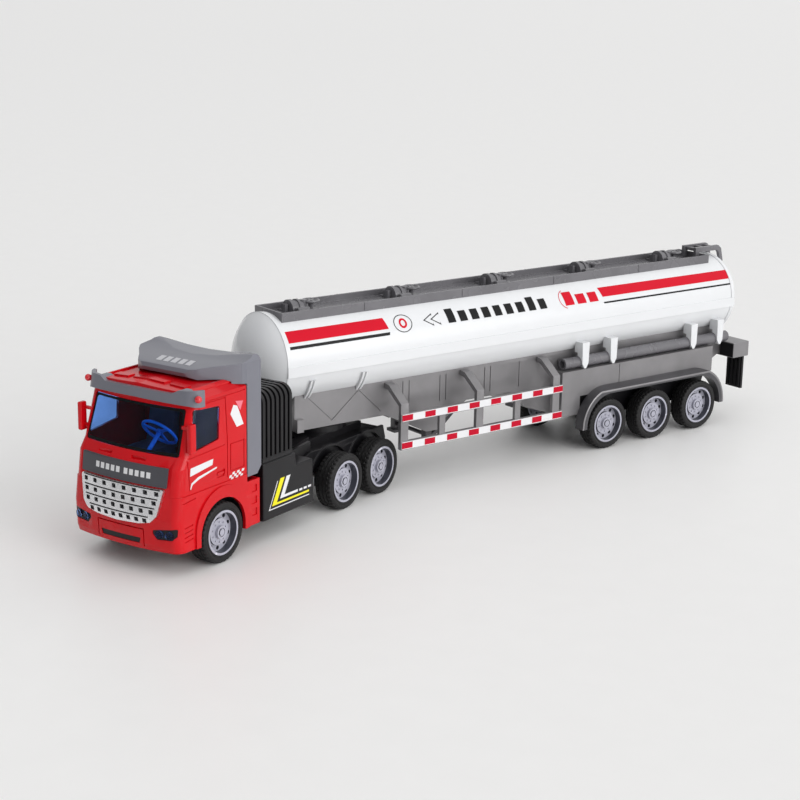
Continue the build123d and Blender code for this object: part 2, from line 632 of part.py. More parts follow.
def tank_halves():
    """The tank's shell, parted at its seam."""
    shell = tank_body(TANK_R, DOME_DEPTH) - tank_body(TANK_R - WALL, DOME_DEPTH - WALL)
    # raised hoops at both rims and a raised band along the seam
    for y in (TANK_FRONT_Y + 1.2, TANK_REAR_Y - 1.2):
        shell += hoop(TANK_R + 0.35, y, 1.2)
    for band in both_sides(box(22.4, 23.7, TANK_FRONT_Y, TANK_REAR_Y, SEAM_Z - 2.6, SEAM_Z + 2.6)):
        shell += band
    upper = shell & box(-60, 60, -80, 320, SEAM_Z, 120)
    upper -= box(-WALK_HALF, WALK_HALF, WALK_FRONT_Y, WALK_REAR_Y, WALK_SEAT, 99.0)
    lower = shell & box(-60, 60, -80, 320, 20, SEAM_Z)
    return upper, lower


TAB_YS = (160.4, 181.5, 244.8, 266.5)
SADDLE_YS = (-17.0, 14.0)
TUBE_X = 21.6
TUBE_Z = 48.9
TUBE_R = 3.1


def tank_lower(half):
    """Lower half with its two saddle ribs and the tabs that stand on the rear ledge."""
    for y in SADDLE_YS:
        rib = hoop(TANK_R + 1.5, y, 1.6)
        rib -= box(-60, 60, y - 0.5, y + 0.5, 0, 200) - cylinder_y(TANK_R + 0.5, y - 1, y + 1, 0, TANK_Z)
        for side in both_sides(box(CHASSIS_HALF + 0.1, 30, y - 2, y + 2, 48, 63.5)):
            half += rib & side
    for y in TAB_YS:
        tab = side_prism([(y - 2.6, 60.0), (y + 2.6, 60.0), (y + 2.2, 48.4), (y + 0.6, REAR_TOP + 0.2),
                          (y - 0.6, REAR_TOP + 0.2), (y - 2.2, 48.4)], 19.4, 25.6)
        tab -= cylinder_y(TUBE_R + 0.15, y - 5, y + 5, TUBE_X, TUBE_Z)
        tab -= box(10, TUBE_X, y - 5, y + 5, 40, 54)
        for side in both_sides(tab):
            half += side - cylinder_y(TANK_R - 0.6, y - 5, y + 5, 0, TANK_Z)
    return half


# ---------------------------------------------------------------- walkway on the tank
COVER_YS = (-9.0, 53.5, 117.0, 181.0, 245.0)


def catwalk():
    """A trough let into the top of the tank."""
    trough = box(-WALK_HALF, WALK_HALF, WALK_FRONT_Y, WALK_REAR_Y, WALK_SEAT, WALK_TOP)
    trough -= box(-WALK_HALF + 1.2, WALK_HALF - 1.2, WALK_FRONT_Y + 1.2, WALK_REAR_Y - 1.2, WALK_FLOOR, 99.0)
    for y in COVER_YS[:-1]:
        for rib in both_sides(box(WALK_HALF - 0.1, WALK_HALF + 0.4, y + 30.0, y + 31.2, 91.6, WALK_TOP)):
            trough += rib
    return trough


def manhole_covers():
    """Five sets of filling fittings: a peg, a banded barrel, two side bolts, a cap and a handwheel."""
    covers = []
    floor = WALK_FLOOR
    above = box(-12, 12, -60, 300, floor, 110)
    for y in COVER_YS:
        cover = box(-8.6, 8.6, y - 8.0, y + 9.0, floor, floor + 0.8)
        cover += box(-1.0, 1.0, y - 9.8, y - 8.0, floor, floor + 4.6)
        for radius, start, end in ((5.0, -7.6, -5.6), (4.3, -5.8, -3.0), (4.9, -3.2, -1.8), (3.6, -2.0, 0.2)):
            cover += cylinder_y(radius, y + start, y + end, 0, floor + 1.5) & above
        for x in (-6.6, 6.6):
            bolt = cylinder_y(1.5, y - 6.4, y + 0.6, x, floor + 2.0)
            cover += fillet(bolt.edges().filter_by(GeomType.CIRCLE), 0.6)
        cover += cylinder_z(1.7, floor, floor + 5.6, 0, y + 1.6)
        cover += cylinder_z(1.2, floor, floor + 4.4, 0, y + 6.0)
        cover += Pos(0, y + 6.0, floor + 4.6) * Torus(3.9, 0.7)
        for turn in (0, 60, 120):
            cover += Pos(0, y + 6.0, floor + 4.6) * Rot(0, 0, turn) * Box(7.6, 0.9, 0.9)
        covers.append(cover)
    return covers


def rear_ladder():
    """Two hooked rails from the walkway down the tank's rear, with rungs."""
    hook = [(263.6, 96.4), (281.6, 96.4), (283.0, 95.0), (285.0, 89.0), (287.0, 89.6),
            (285.0, 97.2), (282.6, 99.2), (263.6, 99.2)]
    ladder = box(-4.4, 4.4, 284.2, 285.8, 89.6, 91.4)
    for y in (265.0, 272.0, 279.0):
        ladder += box(-4.4, 4.4, y, y + 2.0, 96.8, 98.6)
    for rail in both_sides(side_prism(hook, 3.6, 5.6) + box(3.6, 5.6, 263.6, 266.6, WALK_FLOOR, 97.0)):
        ladder += rail
    return ladder


# ---------------------------------------------------------------- trailer's frame
# side view of the beam under the tank: (y, z)
FRAME_PROFILE = [(-24.0, CHASSIS_BOTTOM), (31.0, CHASSIS_BOTTOM), (58.0, 24.4), (66.0, 24.4), (66.0, 27.6),
                 (84.0, CHASSIS_BOTTOM), (114.0, CHASSIS_BOTTOM), (126.0, 27.0), (146.0, 20.4), (157.0, 20.4),
                 (158.0, REAR_BOTTOM), (262.0, REAR_BOTTOM), (276.0, 38.0), (276.0, 62.0), (-24.0, 62.0)]


TRAILER_SCREWS = ((0.0, 20.0), (0.0, 108.0))
RIB_YS = (191.2, 227.0)             # cross ribs under the rear ledge


def trailer_beam():
    """The outside of the beam under the tank."""
    return side_prism(FRAME_PROFILE, -CHASSIS_HALF, CHASSIS_HALF)


def trailer_chassis():
    """Boxed beam under the tank, open below, with pressed truss lines along its sides."""
    core = CHASSIS_HALF - WALL
    inside = box(-core, core, -22.4, 274.4, CHASSIS_BOTTOM + WALL, 61)
    belly = box(-core, core, 30.0, 100.0, 0, CHASSIS_BOTTOM)
    under = box(-core, core, REAR_FRONT_Y + WALL, REAR_BACK_Y - WALL, 0, REAR_TOP - WALL)
    for y in RIB_YS:
        under -= box(-CHASSIS_HALF, CHASSIS_HALF, y - 0.6, y + 0.6, 0, REAR_TOP)
    frame = trailer_beam() - inside - under - belly
    frame += box(-CHASSIS_HALF, CHASSIS_HALF, REAR_FRONT_Y, REAR_BACK_Y, REAR_TOP - WALL, 46.4)
    frame -= cylinder_y(TANK_R, -80, 320, 0, TANK_Z)
    # light tabs at the front corners
    tab = box(CHASSIS_HALF - 0.5, CHASSIS_HALF + 2.6, -24.0, -20.2, CHASSIS_BOTTOM - 0.2, 43.6)
    for side in both_sides(tab):
        frame += side
    lines = [[(y, 53.4), (y, 39.6)] for y in (42.0, 46.0, 66.0, 70.0, 96.0, 100.0, 120.0)]
    for line in lines + [[(-16.0, 53.0), (-2.0, 40.0), (14.0, 53.0), (28.0, 40.0)]]:
        for cut in groove(line, CHASSIS_HALF, 0.6, 0.4):
            frame -= cut
    frame -= cylinder_z(KINGPIN_R, 30.0, 45.0)
    for x, y in TRAILER_SCREWS:
        frame -= cylinder_z(SCREW_R, CHASSIS_BOTTOM - 2, CHASSIS_BOTTOM + 5, x, y)
    return frame


def trailer_ledges():
    """The ledge along each side of the beam above the wheels, hollow below, with two cross ribs."""
    ledge = box(CHASSIS_HALF, REAR_HALF, REAR_FRONT_Y, REAR_BACK_Y, REAR_BOTTOM, REAR_TOP)
    ledge += box(CHASSIS_HALF, REAR_HALF, REAR_FRONT_Y, 157.0, 20.6, REAR_BOTTOM)
    pocket = box(CHASSIS_HALF - 1, REAR_HALF - WALL, 158.0, REAR_BACK_Y - WALL, 0, REAR_TOP - WALL)
    for y in RIB_YS:
        pocket -= box(PLATE_OUTER + 0.2, REAR_HALF, y - 0.6, y + 0.6, 0, REAR_TOP)
    ledge -= pocket
    ledge -= extrude(Plane.YZ.offset(REAR_HALF - 0.3) * trace(Polyline((186.0, 32.6), (186.0, 45.0)), 0.5), 1)
    return both_sides(ledge)


PLATE_OUTER = 19.0


def trailer_bogie():
    """A side plate behind each row of wheels, with a hanger for each axle."""
    top = REAR_TOP - WALL
    outline_points = [(159.0, top), (258.8, top), (262.6, 30.0), (257.0, 15.0), (163.0, 15.0)]
    plate = side_prism(outline_points, CHASSIS_HALF, PLATE_OUTER)
    plate -= box(CHASSIS_HALF - 1, REAR_HALF, REAR_BACK_Y - WALL - 0.1, 270, REAR_BOTTOM - 0.1, 60)
    for y in TRAILER_AXLE_YS:
        hanger = [(y - 5.6, REAR_BOTTOM - 0.2), (y + 5.6, REAR_BOTTOM - 0.2), (y + 3.6, 9.8), (y - 3.6, 9.8)]
        plate += side_prism(hanger, 15.0, PLATE_OUTER)
        plate -= cylinder_x(AXLE_R + RUNNING_GAP, 10, 30, y, TYRE_R)
    return both_sides(plate)


def kingpin():
    """A pin with a head that rests inside the trailer's frame."""
    seat = CHASSIS_BOTTOM + WALL
    return cylinder_z(KINGPIN_R, 31.4, seat) + cylinder_z(4.0, seat, seat + 1.4)


def landing_gear():
    """Two legs with feet and a diagonal brace, standing clear of the floor."""
    leg = box(11.4, 15.0, 59.0, 63.0, 18.8, CHASSIS_BOTTOM) + box(9.6, 16.4, 57.6, 64.4, 17.4, 19.0)
    brace = [(62.0, 20.0), (65.6, 20.0), (86.0, CHASSIS_BOTTOM), (82.0, CHASSIS_BOTTOM)]
    leg += side_prism(brace, 12.2, 14.2)
    left, right = both_sides(leg)
    return left + right + cylinder_x(1.1, -12.0, 12.0, 61.0, 21.6)


GUARD_YS = (30.2, 79.2, 132.0)
GUARD_SMALL_YS = (55.0, 105.6)
GUARD_END_Y = 139.0


def side_guard():
    """Two long rails on posts that bend in at the top to meet the frame under the tank."""
    rails = box(GUARD_OUTER - 2.0, GUARD_OUTER, GUARD_YS[0], GUARD_END_Y, 36.8, 41.0)
    rails += box(GUARD_OUTER - 2.0, GUARD_OUTER, GUARD_YS[0], GUARD_END_Y, 22.4, 26.8)
    strut = [(CHASSIS_HALF + 0.1, 54.4), (21.0, 53.8), (GUARD_OUTER - 0.3, 46.2), (GUARD_OUTER - 0.3, 22.6),
             (GUARD_OUTER - 2.4, 22.6), (GUARD_OUTER - 2.4, 44.8), (20.2, 51.2), (CHASSIS_HALF + 0.1, 51.6)]
    for y in GUARD_YS:
        rails += front_prism(strut, y, y + 4.8)
    for y in GUARD_SMALL_YS:
        rails += box(GUARD_OUTER - 2.2, GUARD_OUTER - 0.4, y, y + 3.8, 24.0, 40.0)
    return rails


def fender():
    """Long mudguard over the three wheels, its top sloping outwards."""
    front, rear = TRAILER_AXLE_YS[0] + 1.4, TRAILER_AXLE_YS[2] - 0.2
    def outline_solid(r, x0, x1):
        arch = cylinder_x(r, x0, x1, front, TYRE_R) + cylinder_x(r, x0, x1, rear, TYRE_R)
        arch += box(x0, x1, front, rear, 5.0, TYRE_R + r)
        return arch & box(x0, x1, 100, 300, 13.0, 60)
    outer = outline_solid(20.6, REAR_HALF, 32.2)
    slope = front_prism([(REAR_HALF, 0.0), (32.2, 0.0), (32.2, 33.2), (REAR_HALF, 34.6)], 100, 300)
    return (outer & slope) - outline_solid(17.2, REAR_HALF - 1, 33.0)


def hose_tubes():
    """A long moulded tube on each ledge, recessed at both ends."""
    tube = cylinder_y(TUBE_R, 147.0, 275.0, TUBE_X, TUBE_Z)
    for y in (144.0, 272.0):
        tube -= cylinder_y(TUBE_R - 1.0, y, y + 6.0, TUBE_X, TUBE_Z)
    return both_sides(tube)


def rear_bumper():
    """Box-section tail shelf with turned-down ends."""
    return box(-28.0, 28.0, 276.2, 289.2, 36.4, 45.2) - box(-26.6, 26.6, 277.6, 287.8, 30.0, 43.8)


def mudflaps():
    """Ribbed flaps hung inside the tail shelf."""
    flap = box(14.6, 26.4, 286.0, 287.7, 16.6, 43.7)
    for i in range(4):
        flap += box(15.4 + 2.9 * i, 16.6 + 2.9 * i, 285.2, 286.1, 17.6, 40.0)
    return both_sides(flap)


def trailer_screws():
    return [screw(x, y, CHASSIS_BOTTOM, CHASSIS_BOTTOM + 5) for x, y in TRAILER_SCREWS]


# ---------------------------------------------------------------- every piece, written out
def axle_set(prefix, y, place):
    write(f"{prefix}_axle", axle(y), place)
    write(f"{prefix}_rims", [rim(1, y), rim(-1, y)], place)
    write(f"{prefix}_tyres", [tyre(1, y), tyre(-1, y)], place)


os.makedirs("parts", exist_ok=True)

TRACTOR_PIECES = {
    "tractor_chassis": tractor_chassis, "cab_shell": cab_shell, "lower_body": lower_body,
    "windscreen": windscreen, "side_windows": side_windows, "grille": grille, "grille_header": grille_header,
    "front_insert": front_insert, "headlamps": headlamps, "sun_visor": sun_visor, "visor_lamps": visor_lamps,
    "roof_deflector": roof_deflector, "mirrors": mirrors, "cab_interior": cab_interior,
    "steering_wheel": steering_wheel, "intake_block": intake_block,
    "side_tanks": side_tanks, "fifth_wheel": fifth_wheel, "rear_skirts": rear_skirts,
    "gearbox_case": gearbox_case, "tractor_screws": tractor_screws, "drive_gear": drive_gear,
    "idler_gear": idler_gear, "flywheel": flywheel,
}
for name, make in TRACTOR_PIECES.items():
    write(name, make(), tractor_place)
axle_set("front", FRONT_AXLE_Y, tractor_place)
axle_set("drive_1", DRIVE_AXLE_YS[0], tractor_place)
axle_set("drive_2", DRIVE_AXLE_YS[1], tractor_place)

upper_half, lower_half = tank_halves()
write("tank_upper", upper_half, trailer_place)
write("tank_lower", tank_lower(lower_half), trailer_place)
TRAILER_PIECES = {
    "catwalk": catwalk, "manhole_covers": manhole_covers, "rear_ladder": rear_ladder,
    "trailer_chassis": trailer_chassis, "trailer_ledges": trailer_ledges, "trailer_bogie": trailer_bogie,
    "kingpin": kingpin, "landing_gear": landing_gear, "rear_bumper": rear_bumper, "mudflaps": mudflaps,
    "hose_tubes": hose_tubes, "trailer_screws": trailer_screws,
}
for name, make in TRAILER_PIECES.items():
    write(name, make(), trailer_place)
for name, solid in (("side_guard", side_guard()), ("fender", fender())):
    left, right = both_sides(solid)
    write(f"{name}_left", left, trailer_place)
    write(f"{name}_right", right, trailer_place)
for number, y in enumerate(TRAILER_AXLE_YS, 1):
    axle_set(f"trailer_{number}", y, trailer_place)
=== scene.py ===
import json
from math import ceil, cos, pi, radians, sin

import bmesh
import bpy
from mathutils import Matrix, Vector
from mathutils.bvhtree import BVHTree


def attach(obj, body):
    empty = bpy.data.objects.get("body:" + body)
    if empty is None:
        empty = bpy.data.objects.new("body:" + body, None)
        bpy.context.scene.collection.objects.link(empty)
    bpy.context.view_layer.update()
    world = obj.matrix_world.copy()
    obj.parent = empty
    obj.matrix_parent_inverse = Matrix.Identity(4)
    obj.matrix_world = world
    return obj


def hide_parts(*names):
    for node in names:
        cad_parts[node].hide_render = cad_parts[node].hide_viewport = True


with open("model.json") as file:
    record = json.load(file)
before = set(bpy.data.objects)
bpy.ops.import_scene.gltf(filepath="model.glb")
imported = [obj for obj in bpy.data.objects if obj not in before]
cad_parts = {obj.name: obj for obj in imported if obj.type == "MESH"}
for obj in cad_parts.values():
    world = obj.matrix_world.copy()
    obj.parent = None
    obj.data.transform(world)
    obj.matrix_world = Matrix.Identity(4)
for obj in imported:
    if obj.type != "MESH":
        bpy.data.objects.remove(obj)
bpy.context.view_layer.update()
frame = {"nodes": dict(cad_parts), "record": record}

# A toy articulated tanker truck. Pieces are drawn in millimetres about the kingpin's axis, with
# the nose towards -Y, and placed by TRAILER or TRACTOR: the tractor is turned about the kingpin.

MM = 0.001
CENTRE = Vector((0.017617, 0.074051, 0.0))
TURN = radians(18.8)
TRAILER = Matrix.Translation(-CENTRE) @ Matrix.Scale(MM, 4)
TRACTOR = Matrix.Translation(-CENTRE) @ Matrix.Rotation(TURN, 4, "Z") @ Matrix.Scale(MM, 4)

BODIES = frame["record"]["behaviour"]["bodies"]
NODE_BODY = {node: body for body, nodes in BODIES.items() for node in nodes}


# ---------------------------------------------------------------- camera, light and floor
def look(position, yaw, pitch, roll, lens):
    """A camera whose view turns by yaw from +Y towards -X, then down by pitch, then rolls."""
    ahead = Vector((-sin(yaw) * cos(pitch), cos(yaw) * cos(pitch), -sin(pitch)))
    level = ahead.cross(Vector((0, 0, 1))).normalized()
    rise = level.cross(ahead)
    right = cos(roll) * level + sin(roll) * rise
    up = -sin(roll) * level + cos(roll) * rise
    camera = bpy.data.objects.new("camera", bpy.data.cameras.new("camera"))
    camera.data.lens = lens
    camera.data.sensor_width = 36.0
    camera.data.clip_start = 0.01
    camera.data.clip_end = 50.0
    camera.matrix_world = Matrix.Translation(position) @ Matrix((right, up, -ahead)).transposed().to_4x4()
    bpy.context.scene.collection.objects.link(camera)
    bpy.context.scene.camera = camera


look(Vector((0.69484, -0.48276, 0.27188)) - CENTRE, radians(52.34), radians(14.91), radians(0.98), 78.75)


def sun(name, direction, strength, angle):
    """Even light over the whole floor, coming from the given direction."""
    light = bpy.data.lights.new(name, "SUN")
    light.energy = strength
    light.angle = radians(angle)
    lamp = bpy.data.objects.new(name, light)
    lamp.rotation_euler = (-Vector(direction)).to_track_quat("-Z", "Y").to_euler()
    bpy.context.scene.collection.objects.link(lamp)


def soft_world(towards, low, high, strength):
    """Studio light that brightens evenly towards one direction."""
    world = bpy.data.worlds.new("studio")
    world.use_nodes = True
    tree = world.node_tree
    coords = tree.nodes.new("ShaderNodeTexCoord")
    facing = tree.nodes.new("ShaderNodeVectorMath")
    facing.operation = "DOT_PRODUCT"
    facing.inputs[1].default_value = Vector(towards).normalized()
    span = tree.nodes.new("ShaderNodeMapRange")
    span.inputs["From Min"].default_value = -0.5
    ramp = tree.nodes.new("ShaderNodeValToRGB")
    ramp.color_ramp.elements[0].color = (*low, 1)
    ramp.color_ramp.elements[1].color = (*high, 1)
    tree.links.new(coords.outputs["Generated"], facing.inputs[0])
    tree.links.new(facing.outputs["Value"], span.inputs["Value"])
    tree.links.new(span.outputs["Result"], ramp.inputs[0])
    background = tree.nodes["Background"]
    background.inputs["Strength"].default_value = strength
    tree.links.new(ramp.outputs[0], background.inputs["Color"])
    bpy.context.scene.world = world


soft_world((0.20, 0.66, 0.72), (0.17, 0.17, 0.18), (1.0, 1.0, 1.0), 1.03)
sun("key", (0.95, 0.30, 0.28), 0.92, 50)
sun("fill", (0.2, -0.5, 0.85), 0.24, 60)
sun("low fill", (1.0, 0.14, 0.22), 1.0, 50)
bpy.context.scene.view_settings.view_transform = "Standard"


# ---------------------------------------------------------------- materials
def shader(name):
    material = bpy.data.materials.new(name)
    material.use_nodes = True
    tree = material.node_tree
    return material, tree, tree.nodes["Principled BSDF"]


def noise(tree, coords, scale, detail=3.0, roughness=0.5):
    node = tree.nodes.new("ShaderNodeTexNoise")
    node.inputs["Scale"].default_value = scale
    node.inputs["Detail"].default_value = detail
    node.inputs["Roughness"].default_value = roughness
    tree.links.new(coords.outputs["Object"], node.inputs["Vector"])
    return node.outputs["Fac"]


def spread(tree, value, low, high, start=0.3, end=0.7):
    """A value from start to end, mapped to low to high."""
    node = tree.nodes.new("ShaderNodeMapRange")
    node.inputs["From Min"].default_value = start
    node.inputs["From Max"].default_value = end
    node.inputs["To Min"].default_value = low
    node.inputs["To Max"].default_value = high
    tree.links.new(value, node.inputs["Value"])
    return node.outputs["Result"]


def two_tones(tree, value, first, second):
    node = tree.nodes.new("ShaderNodeValToRGB")
    node.color_ramp.elements[0].position = 0.32
    node.color_ramp.elements[1].position = 0.68
    node.color_ramp.elements[0].color = (*first, 1)
    node.color_ramp.elements[1].color = (*second, 1)
    tree.links.new(value, node.inputs[0])
    return node.outputs[0]


def bumps(tree, shade, layers):
    """Stacked bumps of (height, depth in mm)."""
    last = None
    for height, depth in layers:
        node = tree.nodes.new("ShaderNodeBump")
        node.inputs["Strength"].default_value = 0.6
        node.inputs["Distance"].default_value = depth * MM
        tree.links.new(height, node.inputs["Height"])
        if last:
            tree.links.new(last, node.inputs["Normal"])
        last = node.outputs["Normal"]
    tree.links.new(last, shade.inputs["Normal"])


def plastic(name, colour, tone=0.82, rough=0.3, coat=0.0, grain=0.02, waves=0.06, specular=0.5,
            metallic=0.0):
    """Moulded plastic: two close tones in slow clouds, uneven gloss, fine grain and sink marks.

    The second tone is the first times tone; grain and waves are depths in mm, and no grain is drawn at 0.
    """
    material, tree, shade = shader(name)
    coords = tree.nodes.new("ShaderNodeTexCoord")
    clouds = noise(tree, coords, 55.0)
    second = tuple(channel * tone for channel in colour)
    tree.links.new(two_tones(tree, clouds, colour, second), shade.inputs["Base Color"])
    smears = noise(tree, coords, 130.0, 1.5)
    tree.links.new(spread(tree, smears, rough * 0.94, rough * 1.1), shade.inputs["Roughness"])
    shade.inputs["Coat Weight"].default_value = coat
    shade.inputs["Coat Roughness"].default_value = 0.08
    shade.inputs["Specular IOR Level"].default_value = specular
    shade.inputs["Metallic"].default_value = metallic
    layers = [(noise(tree, coords, 90.0, 1.0), waves)]
    if grain:
        layers.append((noise(tree, coords, 2600.0, 2.0), grain))
    bumps(tree, shade, layers)
    return material


def metal(name, colour, rough, grain=0.01):
    """Bright metal or metallised plastic with fine scratches and uneven polish."""
    material, tree, shade = shader(name)
    coords = tree.nodes.new("ShaderNodeTexCoord")
    second = tuple(channel * 0.85 for channel in colour)
    clouds = noise(tree, coords, 120.0)
    tree.links.new(two_tones(tree, clouds, colour, second), shade.inputs["Base Color"])
    scratches = noise(tree, coords, 700.0, 4.0)
    tree.links.new(spread(tree, scratches, rough * 0.7, rough * 1.4), shade.inputs["Roughness"])
    shade.inputs["Metallic"].default_value = 1.0
    bumps(tree, shade, [(noise(tree, coords, 3000.0, 2.0), grain)])
    return material


def clear(name, colour, rough=0.03):
    """Tinted clear plastic with slight flow waves."""
    material, tree, shade = shader(name)
    coords = tree.nodes.new("ShaderNodeTexCoord")
    second = tuple(channel * 0.8 for channel in colour)
    clouds = noise(tree, coords, 60.0)
    tree.links.new(two_tones(tree, clouds, colour, second), shade.inputs["Base Color"])
    shade.inputs["Transmission Weight"].default_value = 1.0
    shade.inputs["Roughness"].default_value = rough
    shade.inputs["IOR"].default_value = 1.25
    bumps(tree, shade, [(noise(tree, coords, 80.0, 1.0), 0.03)])
    return material


RED = plastic("red_plastic", (0.60, 0.003, 0.008), 0.92, 0.2, 0.1, 0.006, 0.03, 0.24)
GREY = plastic("grey_plastic", (0.165, 0.168, 0.198), 0.95, 0.22, 0.1, 0.0, 0.02)
CATWALK = plastic("catwalk_grey", (0.15, 0.146, 0.158), 0.8, 0.26, 0.0, 0.006, 0.03, 0.6)
DARK = plastic("dark_grey_plastic", (0.06, 0.058, 0.064), 0.8, 0.34, 0.0, 0.006, 0.03)
BLACK = plastic("black_plastic", (0.0085, 0.008, 0.0095), 0.75, 0.3, 0.0, 0.008, 0.03, 0.3)
HEADER = plastic("header_grey", (0.062, 0.062, 0.073), 0.9, 0.4, 0.0, 0.004, 0.02)
WHITE = plastic("white_plastic", (0.715, 0.725, 0.74), 0.985, 0.2, 0.25, 0.004, 0.02)
SILVER = plastic("silver_grey_plastic", (0.25, 0.243, 0.25), 0.85, 0.34, 0.0, 0.004, 0.02, 0.5, 0.5)
RIM = plastic("rim_plastic", (0.40, 0.40, 0.47), 0.9, 0.28, 0.0, 0.006, 0.03)
# painted shade: a dark copy of the rim plastic for the dish walls, holes and hub groove
RIM_PAINTED_SHADE = plastic("rim_painted_shade", (0.062, 0.066, 0.085), 0.8, 0.3, 0.0, 0.006, 0.03)
# painted highlight: a bright copy of the rim plastic for the flange
RIM_PAINTED_HIGHLIGHT = plastic("rim_painted_highlight", (0.68, 0.68, 0.76), 0.93, 0.24, 0.2, 0.006, 0.03)
BLUE = plastic("steering_plastic", (0.03, 0.30, 0.95), 0.9, 0.3)
INTERIOR = plastic("interior_grey", (0.15, 0.16, 0.21), 0.8, 0.4)
BEAD = plastic("bead_plastic", (0.72, 0.01, 0.02), 0.9, 0.15, 0.6)
RUBBER = plastic("tyre_rubber", (0.0105, 0.010, 0.0105), 0.75, 0.55, 0.0, 0.01, 0.04, 0.35)
SLATS = metal("slat_silver", (0.86, 0.86, 0.88), 0.3)
STEEL = metal("steel", (0.62, 0.61, 0.60), 0.25)
GLASS = clear("blue_clear", (0.42, 0.66, 1.0))
SIDE_GLASS = clear("side_clear", (0.42, 0.60, 1.0))
LENS = clear("lens_blue", (0.25, 0.42, 0.9), 0.08)
FLOOR = plastic("floor", (0.88, 0.876, 0.867), 0.99, 0.4, 0.0, 0.0, 0.0, 0.25)

LOOKS = {
    "gloss red": (RED, "cab_shell lower_body mirrors"),
    "grey": (GREY, "sun_visor roof_deflector"),
    "walkway": (CATWALK, "catwalk manhole_covers rear_ladder hose_tubes"),
    "interior": (INTERIOR, "cab_interior"),
    "dark": (DARK, "drive_gear idler_gear fender_left fender_right landing_gear"),
    "black": (BLACK, "tractor_chassis front_insert intake_block fifth_wheel rear_skirts gearbox_case "
                     "side_tanks trailer_bogie mudflaps"),
    "header": (HEADER, "grille_header"),
    "white": (WHITE, "tank_upper tank_lower"),
    "silver": (SILVER, "trailer_chassis trailer_ledges rear_bumper side_guard_left side_guard_right"),
    "rims": (RIM, "front_rims drive_1_rims drive_2_rims trailer_1_rims trailer_2_rims trailer_3_rims"),
    "blue": (BLUE, "steering_wheel"),
    "beads": (BEAD, "visor_lamps"),
    "tyres": (RUBBER, "front_tyres drive_1_tyres drive_2_tyres trailer_1_tyres trailer_2_tyres "
                      "trailer_3_tyres"),
    "slats": (SLATS, "grille"),
    "steel": (STEEL, "front_axle drive_1_axle drive_2_axle trailer_1_axle trailer_2_axle trailer_3_axle "
                     "kingpin flywheel tractor_screws trailer_screws"),
    "glass": (GLASS, "windscreen"),
    "side glass": (SIDE_GLASS, "side_windows"),
    "lens": (LENS, "headlamps"),
}
MATERIAL_OF = {node: material for material, nodes in LOOKS.values() for node in nodes.split()}
for node, material in MATERIAL_OF.items():
    for slot in frame["nodes"][node].material_slots:
        slot.material = material


# ---------------------------------------------------------------- making pieces
def piece(name, parts, body, material, matrix, smooth=None, weld=False):
    """One object from parts, each (points in millimetres, faces), placed by matrix."""
    points, faces = [], []
    for part_points, part_faces in parts:
        first = len(points)
        points += [matrix @ Vector(point) for point in part_points]
        faces += [[first + i for i in face] for face in part_faces]
    mesh = bpy.data.meshes.new(name)
    mesh.from_pydata(points, [], faces)
    made = bmesh.new()
    made.from_mesh(mesh)
    if weld:
        bmesh.ops.remove_doubles(made, verts=made.verts, dist=0.002 * MM)
    bmesh.ops.recalc_face_normals(made, faces=made.faces)
    made.to_mesh(mesh)
    made.free()
    if smooth:
        mesh.shade_smooth()
        mesh.set_sharp_from_angle(angle=radians(smooth))
    mesh.materials.append(material)
    shown = bpy.data.objects.new(name, mesh)
    bpy.context.scene.collection.objects.link(shown)
    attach(shown, body)
    return shown


def grid(rows, closed=False):
    """Points and faces of a net of rows, closed around each row if asked."""
    count = len(rows[0])
    faces = []
    for i in range(len(rows) - 1):
        for j in range(count if closed else count - 1):
            k = (j + 1) % count
            faces.append((i * count + j, i * count + k, (i + 1) * count + k, (i + 1) * count + j))
    return [point for row in rows for point in row], faces


def between(first, second, steps):
    """Evenly spaced points from first to second, both included."""
    return [tuple(a + (b - a) * i / steps for a, b in zip(first, second)) for i in range(steps + 1)]


def mirror_x(part):
    """The same part on the other side."""
    points, faces = part
    return [(-x, y, z) for x, y, z in points], faces


# ---------------------------------------------------------------- softened mouldings
EDGE_ANGLE = radians(28)            # edges sharper than this are rounded


def refine(node, width):
    """A copy of a CAD node with its moulded edges rounded by width mm, in place of the node."""
    mesh = frame["nodes"][node].data.copy()
    made = bmesh.new()
    made.from_mesh(mesh)
    bmesh.ops.remove_doubles(made, verts=made.verts, dist=0.001 * MM)
    bmesh.ops.dissolve_limit(made, angle_limit=radians(0.6), verts=made.verts, edges=made.edges)
    made.to_mesh(mesh)
    made.free()
    mesh.shade_smooth()
    mesh.set_sharp_from_angle(angle=EDGE_ANGLE)
    mesh.materials.clear()
    mesh.materials.append(MATERIAL_OF[node])
    shown = bpy.data.objects.new(node + "_moulded", mesh)
    bpy.context.scene.collection.objects.link(shown)
    bevel = shown.modifiers.new("edges", "BEVEL")
    bevel.width = width * MM
    bevel.segments = 2
    bevel.limit_method = "ANGLE"
    bevel.angle_limit = EDGE_ANGLE
    bevel.harden_normals = True
    bevel.use_clamp_overlap = True
    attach(shown, NODE_BODY[node])
    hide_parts(node)
    return shown


for node in ("cab_shell lower_body sun_visor roof_deflector intake_block side_tanks rear_skirts "
             "tractor_chassis trailer_chassis trailer_ledges trailer_bogie rear_bumper catwalk "
             "landing_gear mudflaps side_guard_left side_guard_right fender_left fender_right "
             "rear_ladder").split():
    refine(node, 0.3)


# ---------------------------------------------------------------- printed decals
def node_tree(*names):
    """A search tree over the surfaces of CAD nodes."""
    points, faces = [], []
    for name in names:
        mesh = frame["nodes"][name].data
        first = len(points)
        points += [vertex.co.copy() for vertex in mesh.vertices]
        faces += [[first + i for i in polygon.vertices] for polygon in mesh.polygons]
    return BVHTree.FromPolygons(points, faces)


